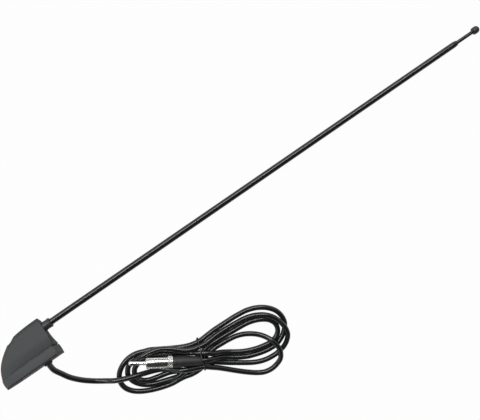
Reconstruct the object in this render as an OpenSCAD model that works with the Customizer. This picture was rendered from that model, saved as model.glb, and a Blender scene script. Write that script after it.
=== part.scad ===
// Telescopic car radio mast on a fin-shaped plastic housing, with its coaxial lead and radio plug.
// Millimetres. It lies as a loose antenna does on a table: the mast runs along +X, the side that meets the
// car faces -Y, and +Z is up. The origin is the middle of the mounting face, under the housing's foot.

/* [Housing] */
// Length of the housing along the mast
base_len = 43.2; // [42:0.2:50]
// Width of the foot
base_w = 18.4; // [17:0.2:22]
// Height of the housing's back above the mounting face
base_h = 30.1; // [29:0.1:34]
// Height of the parting line between foot and cover
seam_h = 7.4; // [6.4:0.1:8.4]
// Width of the upright fin that holds the mast
fin_w = 6.6; // [6.4:0.1:8]
// Height at which the flared skirt has become the fin
flare_h = 17; // [15.5:0.1:18.5]
// Length of the curved front
front_len = 15.4; // [12:0.1:17]
// Height at which the curved front ends
front_h = 26; // [25:0.1:27]
// Distance from the nose to the end of the ramp up to the raised back
ramp_end = 23; // [20:0.1:26]
// Fall of the raised back from the rear to the ramp
back_fall = 1.2; // [0.4:0.1:2]
// Radius that rounds the fin's edge
edge_r = 2.6; // [1.5:0.1:3]
// Length over which the foot narrows to its nose
taper_len = 26; // [20:0.5:34]
// Wall thickness of cover and foot
wall = 1.6; // [1.2:0.1:2]
// Thickness of the foot's floor
floor_t = 2.4; // [2:0.1:3]
// Ledge at the parting line
seam_step = 0.25; // [0.1:0.05:0.4]
// Thickness of the rubber gasket
gasket_t = 1; // [0.6:0.1:1.6]
// Slope cut off the upper rear corner, measured along the mast
rear_cut = 1; // [0.4:0.1:2]
// Height of that slope
rear_cut_h = 4.6; // [3:0.1:6]

/* [Fixing] */
// Distance from the nose to the front screw hole
front_hole_s = 9.6; // [8.5:0.1:11]
// Distance from the nose to the rear screw hole
rear_hole_s = 23; // [20:0.1:24]
// Diameter of the screw holes
screw_hole_d = 4.2; // [3.4:0.1:4.6]
// Width of the snap hooks
hook_w = 4; // [3:0.1:5]
// Thickness of the snap hooks
hook_t = 1.2; // [0.9:0.1:1.4]
// Thickness of the earth plate
plate_t = 0.8; // [0.5:0.1:1]
// Width of the earth plate
plate_w = 7; // [6.6:0.1:8]

/* [Mast] */
// Height of the mast's axis above the mounting face
mast_h = 22.4; // [21.8:0.1:23]
// Outside diameter of the outer tube
tube_d = 4.7; // [4.4:0.05:4.9]
// Wall of the outer tube
tube_wall = 0.3; // [0.25:0.01:0.34]
// Length of the outer tube
tube_len = 389; // [250:1:500]
// Depth of the outer tube in the housing
tube_depth = 20; // [17:0.5:21]
// Outside diameter of the middle tube
middle_d = 3.7; // [3.5:0.05:3.75]
// Wall of the middle tube
middle_wall = 0.25; // [0.2:0.01:0.28]
// Free length behind the middle tube when the mast is pushed in
middle_room = 13; // [9:0.5:30]
// Diameter of the rod
rod_d = 2.8; // [2.5:0.05:2.85]
// Free length behind the rod when the mast is pushed in
rod_room = 3; // [1:0.5:8]
// Length of rod left showing when the mast is pushed in
neck = 15.9; // [5:0.1:30]
// Diameter of the tip button
button_d = 5.6; // [4.9:0.1:7]
// Length of the tip button
button_len = 5.5; // [4:0.1:8]
// Length of each sliding guide
guide_len = 6; // [4:0.5:10]
// Length of the rolled mouth of each tube
mouth_len = 1.8; // [1:0.1:3]
// Radial running fit of guides and mouths
slide_gap = 0.06; // [0.03:0.01:0.1]
// Diameter of the collar behind the housing
collar_d = 7.1; // [6.6:0.1:8]
// Length of the collar
collar_len = 5.8; // [4:0.1:10]
// Diameter of the collar's spigot in the rear wall
spigot_d = 5.6; // [5.4:0.05:5.8]

/* [Socket] */
// Outside diameter of the brass socket
socket_d = 5.5; // [5.3:0.05:5.6]
// Length of the brass socket
socket_len = 21.4; // [21.2:0.1:22]
// Width of the clamping block under the socket
block_w = 4; // [3.6:0.1:4.2]
// Length of the clamping block
block_len = 12; // [11:0.5:13]
// Depth of the clamping block below the mast's axis
block_h = 6; // [5.6:0.1:6.2]
// Diameter of the clamping screw
grub_d = 3; // [2:0.1:3.2]
// Clearance of seated pieces
fit_gap = 0.04; // [0.02:0.01:0.08]

/* [Lead] */
// Distance from the rear to the cable's outlet
outlet_back = 10.9; // [10.2:0.1:11.7]
// Diameter of the lead
cord_d = 4; // [3.6:0.1:4.4]
// Diameter of the grommet
grommet_d = 6.2; // [5.8:0.1:6.8]
// Length by which the grommet stands below the mounting face
grommet_out = 1.6; // [1:0.1:2.5]
// Diameter of the grommet's inner flange
flange_d = 8; // [7.2:0.1:8.6]
// Height of the coiled lead above the table
hank_h = 11.6; // [11.5:0.1:12]

/* [Plug] */
// Diameter of the plug's pin
pin_d = 3.2; // [3:0.05:3.4]
// Length of the pin in front of the shell
pin_len = 12.6; // [10:0.1:14]
// Widest diameter of the plug's shell
shell_d = 9; // [8.6:0.1:9.2]
// Length of the plug's shell
shell_len = 19.4; // [17:0.1:21]
// Wall of the plug's shell
shell_wall = 0.5; // [0.4:0.05:0.6]
// Number of slots in the shell
shell_slots = 4; // [2:1:6]
// Length of the knurled ring
ring_len = 4.2; // [3:0.1:5]
// Length of the boot
boot_len = 21; // [17:0.1:21]
// Diameter of the boot's thin end
boot_end_d = 6.6; // [6:0.1:7.4]

/* [Hidden] */
$fn = 48;
fin_half = fin_w / 2;
foot_half = base_w / 2;
// Widest line of the foot just below the parting line
rim_half = foot_half - seam_step;
rim_y = seam_h - 0.3;
// Roll about the mast at which the foot's rim and the fin's rounded edge both lie on the table
rim_to_edge = base_h - edge_r - rim_y;
edge_reach = norm([fin_half, edge_r * (rim_half - fin_half) / rim_to_edge]);
roll = atan((rim_half - edge_reach) / rim_to_edge);
table_z = -(rim_half * cos(roll) + rim_y * sin(roll));
plan_power = 2.3;
flare_power = 1.8;
nose_bulge = 0.25;
front_s = 0.8;
front_pull = 16.6;
floor_y = gasket_t + floor_t;
cavity_h = mast_h - block_h - 0.6;
tube_r = tube_d / 2;
tube_bore = tube_r - tube_wall;
middle_r = middle_d / 2;
middle_bore = middle_r - middle_wall;
rod_r = rod_d / 2;
tube_start = base_len - tube_depth;
tube_end = tube_start + tube_len;
tube_plug_len = 8;
// Where the middle tube and the rod begin behind their guides
middle_start = tube_start + tube_plug_len + middle_room + guide_len;
rod_start = tube_start + tube_plug_len + rod_room + guide_len + neck;
middle_len = tube_end - middle_start;
rod_len = tube_end + neck - rod_start;
outlet_s = base_len - outlet_back;
block_start = tube_start + 0.1;
grub_s = block_start + 3;
hook_s = [15.5, base_len - 5.7];
hook_y = seam_h - 3.2;
hook_root = 0.9;
barb_t = 0.6;
barb_h = 1;
pocket_t = 1.2;
cord_r = cord_d / 2;
outlet_y = -grommet_out;
// Height of the pin's tip above the table, the plug's heading and its rise towards the boot
plug_h = 7;
plug_turn = -34.1;
plug_rise = 1.6;
plug_tip = [53.3, -34.8];
seat_gap = 0.3;
tie_t = 1;
tie_w = 1.2;
tie_turn = -17;
tie_at = [98.8, -61.8];
tie_half = 11.7;
tie_lift = 0.1;
waist_r = 9.9;
// Circles that the loops of the coiled lead fill: x, y and radius, the left ones first and the waist last
left_loops = [[53.4, -47.8, 16], [66, -50, 16]];
right_loops = [[138.5, -78, 27.5], [119, -70, 19]];
// Points that the lead passes on its way from the grommet to the coil
lead_points = [
    [12.2, -8, 1.2], [13.6, -12, 0.5], [15.5, -17.6, -1.5], [19, -24, -4.6], [23.8, -30.1, -7.5],
    [28.4, -34.1, -8.4], [33, -37.2, -7.9], [36.2, -38.9, -6.9], [39.6, -40.5, -5.4]];

function smooth(t) = let (c = min(1, max(0, t))) c * c * (3 - 2 * c);
// A point of the upright housing, turned as the antenna lies
function laid(p) = [p[0] - base_len / 2, p[1] * cos(roll) + p[2] * sin(roll), p[2] * cos(roll) - p[1] * sin(roll)];

// Half of the foot's width at a distance from its nose
function plan_half(s, half) =
    half * pow(max(0, 1 - pow(max(0, 1 - s / taper_len), plan_power)), 1 / plan_power);

// The foot's outline, seen from above: its nose, one side to the rear and the other side back
function plan_outline(inset, nose, rear, steps = 14) =
    let (side = [for (i = [1:steps]) let (s = (rear - nose) * pow(i / steps, 1.7)) [nose + s, s]])
    concat([[nose, 0]],
        [for (p = side) [p[0], -plan_half(p[1], foot_half - inset)]],
        [for (i = [steps - 1:-1:0]) [side[i][0], plan_half(side[i][1], foot_half - inset)]]);

// Solid through rings of points with the same number of points each
module loft(rings) {
    n = len(rings[0]);
    last = len(rings) - 1;
    points = [for (ring = rings) each ring];
    sides = [for (i = [0:last - 1], j = [0:n - 1])
        let (a = i * n + j, b = i * n + (j + 1) % n, c = b + n, d = a + n) each [[a, b, c], [a, c, d]]];
    polyhedron(points, concat(sides, [[for (j = [n - 1:-1:0]) j]], [[for (j = [0:n - 1]) last * n + j]]), 4);
}

function raised(outline, y) = [for (p = outline) [p[0], y, p[1]]];

// Height of the cover's back, and the distance from the nose, at a step along the silhouette
function front_curve(t) = [
    front_s + (front_len - front_s) * t * t,
    seam_h * (1 - t) * (1 - t) + 2 * front_pull * t * (1 - t) + front_h * t * t];
function back_h(s) =
    let (top = base_h - back_fall * pow((base_len - s) / (base_len - ramp_end), 2.5))
    front_h + (top - front_h) * smooth((s - front_len) / (ramp_end - front_len));
function silhouette() = concat(
    [for (i = [1:11]) front_curve(i / 11)],
    [for (i = [1:7]) let (s = front_len + (ramp_end - front_len) * i / 7) [s, back_h(s)]],
    [for (i = [1:3]) let (s = ramp_end + (base_len - ramp_end) * i / 3) [s, back_h(s)]]);

// One half of the cover's section: the flared skirt, the fin's side and its rounded edge
function half_section(s, top, steep, inset) =
    let (skirt = max(0.2, plan_half(s - front_s * 0.4, foot_half - seam_step * 2) - inset),
        fin = min(fin_half - inset, 0.85 * skirt),
        h = top - seam_h - inset,
        round_h = min(edge_r * steep, 0.85 * h),
        flare = min(flare_h - seam_h, h - round_h))
    concat(
        [for (i = [0:6]) [fin + (skirt - fin) * pow(1 - i / 6, flare_power), seam_h + flare * i / 6]],
        [for (i = [0:5]) [fin * cos(i * 15), seam_h + h - round_h + round_h * sin(i * 15)]]);
function section(s, top, steep, inset) =
    let (half = half_section(s, top, steep, inset), n = len(half))
    concat([for (p = half) [s, p[1], p[0]]], [[s, top - inset, 0]],
        [for (i = [n - 1:-1:0]) [s, half[i][1], -half[i][0]]]);
function steepness(a, b) = sqrt(1 + pow((b[1] - a[1]) / (b[0] - a[0]), 2));
function cover_rings(inset) =
    let (line = silhouette(), last = len(line) - 1)
    [for (i = [0:last]) section(line[i][0], line[i][1], steepness(line[max(0, i - 1)], line[min(last, i + 1)]), inset)];

// The upright housing's own frame: x from the nose, y up from the mounting face, z across
module housing() {
    rotate([-roll, 0, 0]) translate([-base_len / 2, 0, 0]) children();
}

module upright(s, y, d, h) {
    translate([s, y, 0]) rotate([-90, 0, 0]) cylinder(d = d, h = h);
}

module along(s, d, h) {
    translate([s, mast_h, 0]) rotate([0, 90, 0]) cylinder(d = d, h = h);
}

module box(s, y, z, size) {
    translate([s, y, z - size[2] / 2]) cube(size);
}

module skirt_cavity() {
    inner = [for (y = [floor_y, seam_h + 0.01]) raised(plan_outline(wall, wall, base_len - wall), y)];
    loft(inner);
}

module foot() {
    color([0.16, 0.16, 0.17]) housing() {
        difference() {
            union() {
                difference() {
                    loft([
                        raised(plan_outline(0.35, 0.4, base_len - 0.3), gasket_t),
                        raised(plan_outline(0.05, 0, base_len - 0.1), gasket_t + 0.7),
                        raised(plan_outline(0, -nose_bulge, base_len), gasket_t + 2.8),
                        raised(plan_outline(seam_step, 0.1, base_len - 0.1), rim_y),
                        raised(plan_outline(seam_step * 1.8, 0.4, base_len - 0.4), seam_h)]);
                    skirt_cavity();
                }
                upright(front_hole_s, gasket_t, screw_hole_d + 3, floor_t + 1.2);
                upright(outlet_s, gasket_t, flange_d + 1, floor_t);
            }
            upright(front_hole_s, -1, screw_hole_d, seam_h);
            upright(rear_hole_s, -1, screw_hole_d, seam_h);
            upright(outlet_s, -1, grommet_d + 2 * fit_gap, seam_h);
            for (s = hook_s, side = [-1, 1]) box(s - hook_w / 2 - seat_gap, hook_y - 0.2,
                side * (hook_face(s) + pocket_t / 2), [hook_w + 2 * seat_gap, barb_h + 0.5, pocket_t]);
        }
    }
}

// Outer face of a snap hook, clear of the foot's wall
function hook_face(s) = plan_half(s - hook_w / 2 - wall, foot_half - wall) - seat_gap;

module hook(s, side) {
    face = hook_face(s);
    box(s - hook_w / 2, hook_y, side * (face - hook_t / 2), [hook_w, seam_h - hook_y + hook_root, hook_t]);
    box(s - hook_w / 2, hook_y, side * (face + barb_t / 2 - 0.1), [hook_w, barb_h, barb_t + 0.2]);
}

module cover() {
    slot = block_w + 2 * fit_gap;
    color([0.2, 0.2, 0.21]) housing() {
        difference() {
            loft(cover_rings(0));
            intersection() {
                translate([wall, 0, 0]) loft([for (ring = cover_rings(wall)) [for (p = ring)
                    [p[0], p[1] <= seam_h ? seam_h - 1 : p[1], p[2]]]]);
                box(0, seam_h - 0.5, 0, [base_len - wall, cavity_h - seam_h + 0.5, base_w]);
            }
            along(base_len - socket_len - 1, socket_d + 2 * fit_gap, socket_len + 1);
            along(base_len - 1.5, spigot_d + 2 * fit_gap, 3);
            box(block_start - fit_gap, cavity_h - 1, 0, [block_len + 2 * fit_gap, mast_h - cavity_h + 1, slot]);
            translate([base_len, base_h - rear_cut_h, -base_w]) rotate([0, 0, atan(rear_cut / rear_cut_h)])
                cube([3 * rear_cut, 3 * rear_cut_h, 2 * base_w]);
        }
        for (s = hook_s, side = [-1, 1]) hook(s, side);
    }
}

module gasket() {
    color([0.08, 0.08, 0.08]) housing() difference() {
        loft([
            raised(plan_outline(0.1, 0.2, base_len - 0.2), 0),
            raised(plan_outline(0.1, 0.2, base_len - 0.2), gasket_t)]);
        upright(front_hole_s, -1, screw_hole_d + 0.4, gasket_t + 2);
        upright(rear_hole_s, -1, screw_hole_d + 0.4, gasket_t + 2);
        upright(outlet_s, -1, grommet_d + 0.2, gasket_t + 2);
    }
}

module earth_plate() {
    end = outlet_s - flange_d / 2 - seat_gap;
    ring_y = floor_y + 2.4;
    ring_r = cord_r + fit_gap;
    color([0.72, 0.72, 0.7]) housing() difference() {
        union() {
            box(rear_hole_s - 3.6, floor_y, 0, [end - rear_hole_s + 3.6, plate_t, plate_w]);
            box(end - plate_t, floor_y, 0, [plate_t, ring_y - floor_y + 2.4, 3]);
            box(end - plate_t, ring_y, 0, [outlet_s - end, 2.4, 3]);
            upright(outlet_s, ring_y, 2 * ring_r + 1.4, 2.4);
        }
        upright(rear_hole_s, floor_y - 1, screw_hole_d, plate_t + 2);
        upright(outlet_s, ring_y - 1, 2 * ring_r, 5);
    }
}

module cable_grommet() {
    r = grommet_d / 2;
    bore = cord_r + fit_gap;
    color([0.07, 0.07, 0.07]) housing() translate([outlet_s, 0, 0]) rotate([-90, 0, 0]) rotate_extrude()
        polygon([[bore, outlet_y], [r - 0.5, outlet_y], [r, outlet_y + 0.5], [r, floor_y],
            [flange_d / 2, floor_y], [flange_d / 2, floor_y + 1], [bore, floor_y + 1]]);
}

module coax_inside() {
    color([0.05, 0.05, 0.05]) housing() upright(outlet_s, outlet_y, cord_d, floor_y + 5.4 - outlet_y);
}

module coax_core() {
    color([0.92, 0.92, 0.88]) housing() upright(outlet_s, floor_y + 5.4, cord_d * 0.6, 3);
}

module core_lead() {
    start = floor_y + 8.4;
    tag_y = mast_h - block_h - 0.6;
    color([0.8, 0.5, 0.3]) housing() {
        upright(outlet_s, start, 0.9, tag_y - start);
        upright(outlet_s, tag_y, 3, 0.6);
    }
}

module mast_socket() {
    color([0.78, 0.62, 0.3]) housing() difference() {
        union() {
            along(base_len - socket_len - 0.6, socket_d, socket_len - 1);
            box(block_start, mast_h - block_h, 0, [block_len, block_h, block_w]);
        }
        along(tube_start - fit_gap, tube_d + 2 * fit_gap, tube_depth);
        upright(grub_s, mast_h - block_h - 1, grub_d, block_h);
    }
}

module clamp_screw() {
    length = block_h - tube_r - fit_gap;
    color([0.3, 0.3, 0.32]) housing() difference() {
        upright(grub_s, mast_h - block_h, grub_d - 2 * fit_gap, length);
        translate([grub_s, mast_h - block_h - 0.5, 0]) rotate([-90, 0, 0])
            cylinder(d = 1.7, h = 1.9, $fn = 6);
    }
}

module mast_collar() {
    r = collar_d / 2;
    bore = tube_r + fit_gap;
    color([0.15, 0.15, 0.15]) housing() translate([base_len, mast_h, 0]) rotate([0, 90, 0]) rotate_extrude()
        polygon([[bore, -1.5], [spigot_d / 2, -1.5], [spigot_d / 2, 0], [r, 0], [r, collar_len - 0.7],
            [r - 0.7, collar_len], [bore, collar_len]]);
}

// Tube along the mast with a rolled mouth that guides what slides in it
module mast_tube(length, r, bore, mouth) {
    rotate([0, 90, 0]) rotate_extrude()
        polygon([[bore, 0], [r, 0], [r, length - mouth_len], [r - 0.12, length - mouth_len * 0.5],
            [mouth + (r - mouth) * 0.55, length], [mouth, length], [mouth, length - mouth_len],
            [bore, length - mouth_len - 0.4]]);
}

module mast_line(s) {
    housing() translate([s, mast_h, 0]) children();
}

module outer_tube() {
    color([0.1, 0.1, 0.11]) mast_line(tube_start) mast_tube(tube_len, tube_r, tube_bore, middle_r + slide_gap);
}

module tube_plug() {
    color([0.78, 0.62, 0.3]) mast_line(tube_start) rotate([0, 90, 0]) cylinder(r = tube_bore - fit_gap, h = tube_plug_len);
}

module middle_tube() {
    color([0.12, 0.12, 0.13]) mast_line(middle_start) mast_tube(middle_len, middle_r, middle_bore, rod_r + slide_gap);
}

module middle_guide() {
    color([0.78, 0.62, 0.3]) mast_line(middle_start - guide_len) difference() {
        rotate([0, 90, 0]) cylinder(r = tube_bore - slide_gap, h = guide_len);
        translate([-1, 0, 0]) rotate([0, 90, 0]) cylinder(r = middle_bore, h = guide_len + 2);
    }
}

module inner_rod() {
    color([0.12, 0.12, 0.13]) mast_line(rod_start) rotate([0, 90, 0]) cylinder(r = rod_r, h = rod_len);
}

module rod_guide() {
    color([0.78, 0.62, 0.3]) mast_line(rod_start - guide_len) rotate([0, 90, 0])
        cylinder(r = middle_bore - slide_gap, h = guide_len);
}

module tip_button() {
    r = button_d / 2;
    rim = 0.6;
    crown = 0.8 * r;
    color([0.08, 0.08, 0.08]) mast_line(rod_start + rod_len) rotate([0, 90, 0]) rotate_extrude()
        polygon(concat([[0, 0]],
            [for (i = [0:3]) [r - rim + rim * sin(i * 30), rim - rim * cos(i * 30)]],
            [for (i = [0:6]) [r * cos(i * 15), button_len - crown + crown * sin(i * 15)]]));
}

// Direction in which the lead leaves the grommet
outlet = laid([outlet_s, outlet_y, 0]);
outward = [0, -cos(roll), sin(roll)];
route = concat([outlet, outlet + 3 * outward], lead_points);

function unit(v) = v / norm(v);
// Smooth curve through four neighbouring points
function between(a, b, c, d, t) =
    0.5 * (2 * b + (c - a) * t + (2 * a - 5 * b + 4 * c - d) * t * t + (3 * b - a - 3 * c + d) * t * t * t);
function curve(points, steps) =
    let (last = len(points) - 1)
    concat([for (i = [0:last - 1], k = [0:steps - 1])
        between(points[max(0, i - 1)], points[i], points[i + 1], points[min(last, i + 2)], k / steps)],
        [points[last]]);
function ring_at(line, i, r, sides) =
    let (last = len(line) - 1,
        d = i == 0 ? unit(line[1] - line[0]) : i == last ? unit(line[last] - line[last - 1])
            : unit(line[i + 1] - line[i - 1]),
        u = unit(cross(d, [0, 0.2, 1])),
        v = cross(d, u))
    [for (k = [0:sides - 1]) line[i] + r * (cos(360 * k / sides) * u - sin(360 * k / sides) * v)];

module coax_lead() {
    line = concat([route[0]], curve([for (i = [1:len(route) - 1]) route[i]], 1));
    color([0.05, 0.05, 0.05]) loft([for (i = [0:len(line) - 1]) ring_at(line, i, cord_r, 12)]);
}

module loop_area(loops) {
    hull() {
        for (loop = loops) translate([loop[0], loop[1]]) circle(r = loop[2], $fn = 40);
        translate(tie_at) circle(r = waist_r, $fn = 40);
    }
}

module plug_line() {
    translate([plug_tip[0], plug_tip[1], table_z + plug_h]) rotate([0, -plug_rise, plug_turn]) children();
}

module at_plug() {
    plug_line() rotate([0, 90, 0]) children();
}

module plug_pocket() {
    wide = shell_d / 2 + seat_gap;
    slim = pin_d / 2 + 0.6;
    plug_line() {
        translate([pin_len - 0.5, -wide, -wide]) cube([shell_len + boot_len + 0.5, 2 * wide, 3 * wide]);
        translate([-8, -slim, -slim]) cube([pin_len + 8, 2 * slim, 3 * wide]);
    }
}

module coax_hank() {
    color([0.05, 0.05, 0.05]) difference() {
        translate([0, 0, table_z]) linear_extrude(hank_h) {
            loop_area(left_loops);
            loop_area(right_loops);
        }
        plug_pocket();
        translate([tie_at[0], tie_at[1], table_z]) rotate([0, 0, tie_turn])
            cube([tie_w + 2 * seat_gap, 8 * waist_r, 2 * (tie_t + seat_gap + tie_lift)], center = true);
    }
}

module rounded(w, h, r) {
    square([w - 2 * r, h], center = true);
    square([w, h - 2 * r], center = true);
    for (x = [-1, 1], y = [-1, 1]) translate([x * (w / 2 - r), y * (h / 2 - r)]) circle(r = r);
}

module cable_tie() {
    inner_h = hank_h - tie_t + seat_gap;
    inner_w = 2 * (tie_half + seat_gap);
    mid_z = table_z + tie_lift + tie_t + inner_h / 2;
    color([0.06, 0.06, 0.06]) translate([tie_at[0], tie_at[1], mid_z]) rotate([0, 0, tie_turn + 90])
        rotate([90, 0, 0]) translate([0, 0, -tie_w / 2]) linear_extrude(tie_w) difference() {
            rounded(inner_w + 2 * tie_t, inner_h + 2 * tie_t, tie_t + 1);
            rounded(inner_w, inner_h, 0.6);
        }
}

module plug_pin() {
    r = pin_d / 2;
    color([0.8, 0.8, 0.78]) at_plug() rotate_extrude()
        polygon([[0, 0], [r - 0.7, 0.1], [r + 0.1, 1], [r + 0.1, 2.6], [r - 0.15, 4.2], [r - 0.15, pin_len - 2],
            [r, pin_len], [r, pin_len + 8], [0, pin_len + 8]]);
}

module plug_insulator() {
    color([0.9, 0.9, 0.86]) at_plug() difference() {
        translate([0, 0, pin_len + 2]) cylinder(r = shell_d / 2 - shell_wall - 0.2 - fit_gap, h = 10);
        translate([0, 0, pin_len]) cylinder(d = pin_d + 2 * fit_gap, h = 8 + fit_gap);
    }
}

module plug_shell() {
    r = shell_d / 2;
    back = shell_len - ring_len;
    color([0.82, 0.82, 0.8]) at_plug() translate([0, 0, pin_len]) difference() {
        rotate_extrude()
            polygon([[r - 0.2 - shell_wall, 0], [r - 0.35, 0], [r - 0.1, 1.4], [r, back * 0.45], [r - 0.05, back * 0.8],
                [r - 0.2, back], [r - 0.2 - shell_wall, back]]);
        for (k = [0:shell_slots - 1]) rotate([0, 0, 45 + 360 * k / shell_slots])
            translate([r / 2, -0.3, -1]) cube([r, 0.6, back * 0.8]);
    }
}

module plug_ring() {
    r = shell_d / 2 - 0.05;
    flutes = 24;
    color([0.75, 0.75, 0.73]) at_plug() translate([0, 0, pin_len + shell_len - ring_len]) difference() {
        cylinder(r = r, h = ring_len);
        for (k = [0:flutes - 1]) rotate([0, 0, 360 * k / flutes])
            translate([r + 0.12, 0, 0.7]) cylinder(r = 0.32, h = ring_len);
        translate([0, 0, ring_len - 2]) cylinder(d = 3, h = 3);
    }
}

module plug_boot() {
    r = shell_d / 2 - 0.15;
    end = boot_end_d / 2;
    start = pin_len + shell_len;
    color([0.07, 0.07, 0.07]) at_plug() translate([0, 0, start]) rotate_extrude()
        polygon([[0, 0], [r - 0.3, 0], [r, 0.4], [r, 4], [r - 0.35, boot_len * 0.45], [end + 0.1, boot_len - 3],
            [end, boot_len - 0.5], [end - 0.5, boot_len], [0, boot_len]]);
}

foot();
cover();
gasket();
earth_plate();
cable_grommet();
coax_inside();
coax_core();
core_lead();
mast_socket();
clamp_screw();
mast_collar();
outer_tube();
tube_plug();
middle_tube();
middle_guide();
inner_rod();
rod_guide();
tip_button();
coax_lead();
coax_hank();
cable_tie();
plug_shell();
plug_ring();
plug_insulator();
plug_pin();
plug_boot();
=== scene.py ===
# %% [markdown]
# # A telescopic car radio mast, lying on a white table
# The real object is a thin black mast on a small fin-shaped plastic housing. A thin coaxial lead
# leaves the housing's foot, is wound into a long hank, tied once, and ends in a bright radio plug.
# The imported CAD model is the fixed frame: it says where everything is, in metres. This lesson starts
# with the camera and the lead's route, then come the finishes and each piece, and last the table and
# the light.

# %% Load the frame
import math
import bpy
import bmesh
from mathutils import Matrix, Vector


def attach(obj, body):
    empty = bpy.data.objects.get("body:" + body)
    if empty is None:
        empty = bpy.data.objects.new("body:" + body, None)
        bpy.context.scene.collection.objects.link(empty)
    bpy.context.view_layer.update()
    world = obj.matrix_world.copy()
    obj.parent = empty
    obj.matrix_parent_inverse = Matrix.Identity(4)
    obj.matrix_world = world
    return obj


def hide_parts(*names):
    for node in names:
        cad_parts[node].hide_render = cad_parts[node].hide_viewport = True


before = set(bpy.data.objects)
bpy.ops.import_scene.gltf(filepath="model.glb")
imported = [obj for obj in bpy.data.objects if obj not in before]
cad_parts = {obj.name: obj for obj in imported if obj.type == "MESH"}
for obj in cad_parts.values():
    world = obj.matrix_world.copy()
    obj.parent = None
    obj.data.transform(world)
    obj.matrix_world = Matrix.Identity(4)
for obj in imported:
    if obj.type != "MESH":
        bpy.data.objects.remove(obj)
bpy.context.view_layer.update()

# %% [markdown]
# ## Sizes that the pieces share
# The housing is drawn upright in millimetres: s runs from the nose along the mast, y rises from the
# mounting face, and z crosses. A loose antenna rolls over until the foot's rim and the fin's edge touch
# the table, so every point of the housing is turned by that roll before it becomes metres.

# %% Sizes
MM = 0.001
BASE_LEN, BASE_HALF, BASE_H = 43.2, 9.2, 30.1
SEAM_H, SEAM_STEP, GASKET_T = 7.4, 0.25, 1.0
FIN_HALF, FLARE_H, EDGE_R = 3.3, 17.0, 2.6
FRONT_LEN, FRONT_H, RAMP_END, BACK_FALL = 15.4, 26.0, 23.0, 1.2
MAST_H, OUTLET_S, GROMMET_OUT = 22.4, 32.3, 1.6
CORD_R = 2.0
RIM_H = SEAM_H - 0.3
rim_rise = BASE_H - EDGE_R - RIM_H
rim_half = BASE_HALF - SEAM_STEP
edge_reach = math.hypot(FIN_HALF, EDGE_R * (rim_half - FIN_HALF) / rim_rise)
ROLL = math.atan((rim_half - edge_reach) / rim_rise)
TABLE_Z = -(rim_half * math.cos(ROLL) + RIM_H * math.sin(ROLL))
print("roll", round(math.degrees(ROLL), 2), "degrees, table at", round(TABLE_Z, 3), "mm")


def laid(s, y, z):
    """A point of the upright housing, in millimetres, as it lies on the table, in metres."""
    return Vector((s - BASE_LEN / 2, y * math.cos(ROLL) + z * math.sin(ROLL),
                   z * math.cos(ROLL) - y * math.sin(ROLL))) * MM


# %% [markdown]
# ## The camera
# The picture was taken from almost straight above. Three measured facts place the camera: where it
# stands, the point on the table that it looks at, and which way is up in the picture.

# %% Camera
camera_data = bpy.data.cameras.new("camera")
camera = bpy.data.objects.new("camera", camera_data)
bpy.context.scene.collection.objects.link(camera)
bpy.context.scene.camera = camera
eye = Vector((139.376, 82.864, 424.467)) * MM
aim = Vector((182.619, 9.776, -10.505)) * MM
picture_up = Vector((0.56583, 0.82047, -0.08161))
back = (eye - aim).normalized()
right = picture_up.cross(back).normalized()
up = back.cross(right)
camera.matrix_world = Matrix.Translation(eye) @ Matrix((right, up, back)).transposed().to_4x4()
camera_data.sensor_width = 36
camera_data.lens = 45.03
camera_data.clip_start = 0.01
print("camera at", tuple(round(v, 3) for v in eye), "lens", camera_data.lens)

# %% [markdown]
# ## The lead's route
# A 4 mm coaxial lead is springy: it leaves the grommet straight, drops to the table in one bow and is
# wound into loops that are narrow at the tie. The points below are millimetres along its one path,
# after the grommet's mouth and up to the plug's boot. Where it crosses itself it climbs in a long low
# hump. A smooth curve through all of them gives the centreline, because straight pieces between the
# points would show as kinks.

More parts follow.
